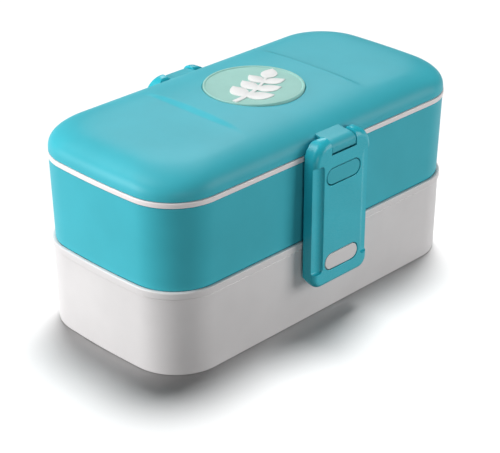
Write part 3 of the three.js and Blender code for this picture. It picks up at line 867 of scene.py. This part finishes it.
def latch():
    """The whole latch: a plate with side walls, two ears for the pin, and two windows."""
    body = carve(latch_front(), [latch_side()], "INTERSECT")
    inside = LATCH_HALF_WIDTH - LATCH_SIDE_WALL
    back = LATCH_PLATE - LATCH_FACE
    cutters = [
        block("hollow", (-inside, back, LATCH_FOOT + 3.5), (inside, LATCH_BACK + 2, -LATCH_WEB)),
        block("open_foot", (-inside, back + 1.5, LATCH_FOOT - 1), (inside, LATCH_BACK + 2, -LATCH_WEB)),
        rod("sweep", KNUCKLE_SWEEP, KNUCKLE_HALF + KNUCKLE_GAP, segments=96),
        rod("bore", PIN_RADIUS + GAP, PIN_HALF + GAP),
        latch_window(CATCH_HEIGHTS["upper"]), latch_window(CATCH_HEIGHTS["lower"]),
        latch_recess(-1), latch_recess(1),
    ]
    return carve(body, cutters, "DIFFERENCE", 30)


# ---- Cutlery ----
CUTLERY_LENGTH = 150.0
FORK_MIDDLE, KNIFE_MIDDLE, SPOON_MIDDLE = 3.5, 24.0, -22.0
FORK_THICKNESS, KNIFE_THICKNESS, SPOON_THICKNESS = 2.2, 2.0, 1.6
NECK_HALF_WIDTH, HANDLE_FLARE = 3.2, 3.4
FORK_HEAD = 10.5
TINE_SPACING = 5.2
SLOT_START, SLOT_HALF_WIDTH = 36, 1.3
BLADE_HALF_WIDTH, BLADE_SHIFT = 7, 1.5
BOWL_HALF_WIDTH, BOWL_DEPTH = 13, 3.2
BOWL_MIDDLE, BOWL_REACH, NECK_END = 0.85, 0.1505, 0.72


def ramp(start, stop, s):
    """A soft rise from 0 at start to 1 at stop. Here s runs from 0 to 1 along the cutlery."""
    return smooth_step((s - start) / (stop - start))


def round_end(s, end, length):
    """1 along a bar, falling to 0 in a round over the last length before its end."""
    return np.sqrt(np.maximum(0, 1 - (np.maximum(0, s - end + length) / length) ** 2))


def handle(s):
    """A handle's half width: broad and round at its end, narrow at the neck."""
    half_width = NECK_HALF_WIDTH + HANDLE_FLARE * (1 - ramp(0, 0.6, s))
    return half_width * (0.25 + 0.75 * round_end(1 - s, 1, 0.05))


def flat(s):
    """No rise or hollow anywhere along a bar."""
    return 0


def bar(name, node, half_width, middle, thickness, rise=flat, dish=flat):
    """A flat bar along X whose half width, middle, height and hollow follow its length."""
    bottom = node_box(node)[0][2]
    across, upright = bulging_section(36, 0.7, 0.6)
    rings = []
    for s in 0.5 - 0.5 * np.cos(np.linspace(0, math.pi, 121)):
        s = min(max(s, 0.0005), 0.9995)
        hollow = dish(s) * (1 - across**2)
        x = np.full(len(across), CUTLERY_LENGTH * (s - 0.5))
        y = middle(s) + across * max(half_width(s), 0.3)
        z = bottom + rise(s) - hollow + thickness * (0.5 + 0.5 * upright)
        rings.append(np.column_stack([x, y, z]))
    return loft(name, rings)


def spoon():
    """A spoon whose bowl is a hollowed ellipse on a rising neck."""
    def width(s):
        bowl = BOWL_HALF_WIDTH * math.sqrt(max(0.0, 1 - ((s - BOWL_MIDDLE) / BOWL_REACH) ** 2))
        neck = handle(s) * (1 - ramp(0.8, 0.9, s))
        return math.hypot(neck, bowl) if s < NECK_END else max(neck, bowl)

    def rise(s):
        return BOWL_DEPTH * ramp(0.35, NECK_END, s)

    def dish(s):
        return BOWL_DEPTH * ramp(0.7, 0.82, s) * (1 - ramp(0.88, 1, s))

    return bar("spoon_body", "spoon", width, lambda s: SPOON_MIDDLE, SPOON_THICKNESS, rise, dish)


def fork():
    """A flat fork with three slots between its tines."""
    def width(s):
        return max(handle(s), FORK_HEAD * ramp(0.62, 0.76, s)) * (0.9 + 0.1 * round_end(s, 1, 0.02))

    body = bar("fork_body", "fork", width, lambda s: FORK_MIDDLE, FORK_THICKNESS)
    slots = []
    for offset in (-TINE_SPACING, 0, TINE_SPACING):
        outline = plan_slot(SLOT_START, CUTLERY_LENGTH / 2 + 5, FORK_MIDDLE + offset, SLOT_HALF_WIDTH)
        slots.append(loft("slot", [level(outline, 70), level(outline, 90)]))
    return carve(body, slots, "DIFFERENCE")


def plan_slot(start, stop, y, half_width):
    """A slot in plan with a round near end."""
    near = arc(start + half_width, y, half_width, math.pi / 2, 3 * math.pi / 2, 14)
    return np.vstack([near, [(stop, y - half_width), (stop, y + half_width)]])


def knife():
    """A flat knife whose blade is set off to one side of its handle."""
    def width(s):
        blade = BLADE_HALF_WIDTH * ramp(0.4, 0.5, s) * (0.3 + 0.7 * round_end(s, 1, 0.2))
        return max(handle(s) * (1 - ramp(0.5, 0.62, s)), blade)

    def middle(s):
        return KNIFE_MIDDLE + BLADE_SHIFT * ramp(0.4, 0.5, s)

    return bar("knife_body", "knife", width, middle, KNIFE_THICKNESS)


# ---- Materials ----
DARKEST, LIGHTEST = 0.965, 1.03
GLOSS_SPREAD = 0.05
RELIEF_STRENGTH = 0.35


def node_material(name, colour, roughness, grain, mottle, bump, **sockets):
    """A moulded surface: a faint mottle in its colour, and a fine grain in its gloss and relief.

    grain and mottle are sizes in millimetres, bump the grain's depth in millimetres.
    """
    material = bpy.data.materials.new(name)
    material.use_nodes = True
    nodes, links = material.node_tree.nodes, material.node_tree.links
    surface = nodes["Principled BSDF"]
    for socket, value in sockets.items():
        surface.inputs[socket.replace("_", " ")].default_value = value
    place = nodes.new("ShaderNodeTexCoord").outputs["Object"]

    def noise(size, detail):
        node = nodes.new("ShaderNodeTexNoise")
        node.inputs["Scale"].default_value = 1 / (size * MM)
        node.inputs["Detail"].default_value = detail
        node.inputs["Roughness"].default_value = 0.5
        links.new(place, node.inputs["Vector"])
        return node.outputs["Fac"]

    broad = noise(mottle, 3)
    fine = noise(grain, 2)
    tint = nodes.new("ShaderNodeValToRGB")
    dark = [channel * DARKEST for channel in colour]
    light = [min(1, channel * LIGHTEST + 0.002) for channel in colour]
    tint.color_ramp.elements[0].position, tint.color_ramp.elements[1].position = 0.3, 0.7
    tint.color_ramp.elements[0].color = (*dark, 1)
    tint.color_ramp.elements[1].color = (*light, 1)
    links.new(broad, tint.inputs["Fac"])
    links.new(tint.outputs["Color"], surface.inputs["Base Color"])

    gloss = nodes.new("ShaderNodeMapRange")
    gloss.inputs["To Min"].default_value = roughness - GLOSS_SPREAD
    gloss.inputs["To Max"].default_value = roughness + GLOSS_SPREAD
    links.new(fine, gloss.inputs["Value"])
    links.new(gloss.outputs["Result"], surface.inputs["Roughness"])

    relief = nodes.new("ShaderNodeBump")
    relief.inputs["Strength"].default_value = RELIEF_STRENGTH
    relief.inputs["Distance"].default_value = bump * MM
    links.new(fine, relief.inputs["Height"])
    links.new(relief.outputs["Normal"], surface.inputs["Normal"])
    return material


TEAL = (0.055, 0.50, 0.60)
# Painted light: the latch's teal is lighter than the cover's teal, standing in for the extra light that
# the latch catches.
TEAL_LATCH_PAINTED_LIGHT = (0.03, 0.55, 0.67)
WHITE = (0.82, 0.80, 0.80)
# The tray's warm pinkish white is its own colour. Its extra lightness over the tiers' white is painted
# light, for the light that falls on the band below the cover.
TRAY_WHITE_PAINTED_LIGHT = (0.97, 0.90, 0.90)
MINT = (0.36, 0.68, 0.61)
EMBLEM_WHITE = (0.86, 0.87, 0.86)
CUTLERY_MINT = (0.38, 0.70, 0.62)
SILICONE = (0.78, 0.83, 0.81)
STEEL = (0.56, 0.57, 0.58)
PAPER = (0.93, 0.93, 0.93)
SILICONE_DEPTH = 2.0

teal = node_material("teal_soft_touch", TEAL, 0.46, 0.28, 22, 0.012, Specular_IOR_Level=0.25)
# The latch material carries painted light in its lightened teal.
teal_latch = node_material("teal_latch", TEAL_LATCH_PAINTED_LIGHT, 0.28, 0.28, 14, 0.008, Specular_IOR_Level=0.34)
white = node_material("white_moulded", WHITE, 0.38, 0.22, 25, 0.008, Specular_IOR_Level=0.35)
# The tray material's extra lightness is painted light on the band.
tray_white_painted_light = node_material("tray_white_painted_light", TRAY_WHITE_PAINTED_LIGHT, 0.35, 0.22, 25, 0.008)
mint = node_material("mint_moulded", MINT, 0.45, 0.25, 12, 0.01, Specular_IOR_Level=0.2)
emblem_white = node_material("emblem_white", EMBLEM_WHITE, 0.42, 0.2, 6, 0.008)
cutlery_mint = node_material("cutlery_mint", CUTLERY_MINT, 0.34, 0.3, 15, 0.01)
silicone = node_material(
    "silicone_soft", SILICONE, 0.55, 0.15, 8, 0.01, Subsurface_Weight=0.15,
    Subsurface_Radius=(SILICONE_DEPTH * MM,) * 3)
steel = node_material("brushed_steel", STEEL, 0.28, 0.1, 3, 0.01, Metallic=1.0)


# ---- Pieces ----
finish_piece(lower_tier(), "lower_tier", white)
lower_wall = divider("lower_divider_wall", "lower_divider", 41.7, 42.3)
finish_piece(lower_wall, "lower_divider", mint)

finish_piece(middle_lid(), "middle_lid", white)
middle_ring = seal("middle_seal_ring", MIDDLE_SKIRT_OUT, MIDDLE_SKIRT_BOTTOM, 0.1)
finish_piece(middle_ring, "middle_lid_seal", silicone, "middle_lid")

finish_piece(upper_tier(), "upper_tier", teal)
upper_wall = divider("upper_divider_wall", "upper_divider", 41.5, 42.7)
finish_piece(upper_wall, "upper_divider", white)

finish_piece(inner_lid(), "inner_lid", tray_white_painted_light)
inner_ring = seal("inner_seal_ring", INNER_SKIRT_OUT, INNER_SKIRT_BOTTOM, 0.15)
finish_piece(inner_ring, "inner_lid_seal", silicone, "inner_lid")
finish_piece(vent_plug(), "vent_plug", silicone)

finish_piece(spoon(), "spoon", cutlery_mint)
finish_piece(fork(), "fork", cutlery_mint)
finish_piece(knife(), "knife", cutlery_mint)

finish_piece(cover(), "lid_cover", teal, "cover", even=False)
finish_piece(badge(), "lid_badge", mint, "cover")
finish_piece(emblem(), "badge_emblem", emblem_white, "cover")

HINGE = (0, PIVOT_OUT, PIVOT_HEIGHT)
front_latch = latch()
front_pin = rod("front_pin_rod", PIN_RADIUS, PIN_HALF, 0.25)
rear_latch = twin(front_latch, "rear_latch_body", HINGE, math.pi)
rear_pin = twin(front_pin, "rear_pin_rod", HINGE, math.pi)
move(front_latch, (0, -PIVOT_OUT, PIVOT_HEIGHT)).name = "front_latch_body"
move(front_pin, (0, -PIVOT_OUT, PIVOT_HEIGHT))
finish_piece(front_latch, "front_latch", teal_latch)
finish_piece(rear_latch, "rear_latch", teal_latch)
finish_piece(front_pin, "front_latch_pin", steel, "cover")
finish_piece(rear_pin, "rear_latch_pin", steel, "cover")


# ---- Floor, light and camera ----
LIGHT_TARGET = Vector((0, 0, 0.05))
LIGHT_DISTANCE = 1.15
FLOOR_HALF = 30000.0

CAMERA_TARGET = Vector((-0.0215, -0.01892, 0.040))
CAMERA_AZIMUTH = -45.32
CAMERA_ELEVATION = 27.45
CAMERA_DISTANCE = 0.70026
CAMERA_LENS = 115.03
CAMERA_SENSOR = 36.0


def place_light(data, azimuth, elevation):
    """Puts a light on a sphere round the box, facing it. Azimuth is from +X towards +Y, in degrees."""
    turn, rise = math.radians(azimuth), math.radians(elevation)
    direction = Vector((
        math.cos(turn) * math.cos(rise), math.sin(turn) * math.cos(rise), math.sin(rise)))
    light = bpy.data.objects.new(data.name, data)
    light.location = LIGHT_TARGET + direction * LIGHT_DISTANCE
    light.rotation_euler = (-direction).to_track_quat("-Z", "Y").to_euler()
    bpy.context.scene.collection.objects.link(light)
    return light


def link_light(light, obj, state):
    """INCLUDE makes a light reach only that object, EXCLUDE everything but it."""
    receivers = bpy.data.collections.new(light.name + "_receivers")
    receivers.objects.link(obj)
    receivers.collection_objects[0].light_linking.link_state = state
    light.light_linking.receiver_collection = receivers


def soft_light(name, azimuth, elevation, power, size):
    """A square soft light, with its power in watts and its size in metres."""
    data = bpy.data.lights.new(name, "AREA")
    data.shape = "SQUARE"
    data.size = size
    data.energy = power
    return place_light(data, azimuth, elevation)


def soft_sun(name, azimuth, elevation, strength, spread):
    """A wide sun, which lights a floor evenly far out. The spread is in degrees."""
    data = bpy.data.lights.new(name, "SUN")
    data.energy = strength
    data.angle = math.radians(spread)
    return place_light(data, azimuth, elevation)


def floor():
    corners = [(x * FLOOR_HALF, y * FLOOR_HALF, 0) for x, y in ((-1, -1), (1, -1), (1, 1), (-1, 1))]
    mesh = bpy.data.meshes.new("floor")
    mesh.from_pydata((np.array(corners) * MM).tolist(), [], [(0, 1, 2, 3)])
    obj = bpy.data.objects.new("floor", mesh)
    paper = node_material("floor_paper", PAPER, 0.9, 0.8, 300, 0.01, Specular_IOR_Level=0.1)
    obj.data.materials.append(paper)
    bpy.context.scene.collection.objects.link(obj)
    obj.visible_diffuse = False
    return obj


def world_light(strength):
    world = bpy.data.worlds.new("studio")
    world.use_nodes = True
    background = world.node_tree.nodes["Background"]
    background.inputs["Color"].default_value = (1, 1, 1, 1)
    background.inputs["Strength"].default_value = strength
    bpy.context.scene.world = world


def camera():
    """The photo's camera, on a sphere round its target. Azimuth is from the front towards +X."""
    azimuth, elevation = math.radians(CAMERA_AZIMUTH), math.radians(CAMERA_ELEVATION)
    back = Vector((
        math.sin(azimuth) * math.cos(elevation),
        -math.cos(azimuth) * math.cos(elevation),
        math.sin(elevation)))
    data = bpy.data.cameras.new("camera")
    data.sensor_width = CAMERA_SENSOR
    data.lens = CAMERA_LENS
    obj = bpy.data.objects.new("camera", data)
    obj.location = CAMERA_TARGET + back * CAMERA_DISTANCE
    obj.rotation_euler = (-back).to_track_quat("-Z", "Y").to_euler()
    bpy.context.scene.collection.objects.link(obj)
    bpy.context.scene.camera = obj


ground = floor()
world_light(0.02)
for light in (
    soft_sun("floor_back", 37, 71, 3.7, 23),
    soft_light("floor_top", 0, 89, 0.4, 0.6),
):
    link_light(light, ground, "INCLUDE")
for light in (
    soft_light("back_left", 137, 54, 7.0, 0.6),
    soft_light("back_right", 45, 44, 5.6, 0.6),
    soft_light("left", 152, 8, 11.0, 0.5),
    soft_light("right", 308, 12, 7.1, 0.7),
    soft_light("fill", 240, 8, 2.6, 0.5),
):
    link_light(light, ground, "EXCLUDE")
camera()
bpy.context.scene.view_settings.view_transform = "Standard"
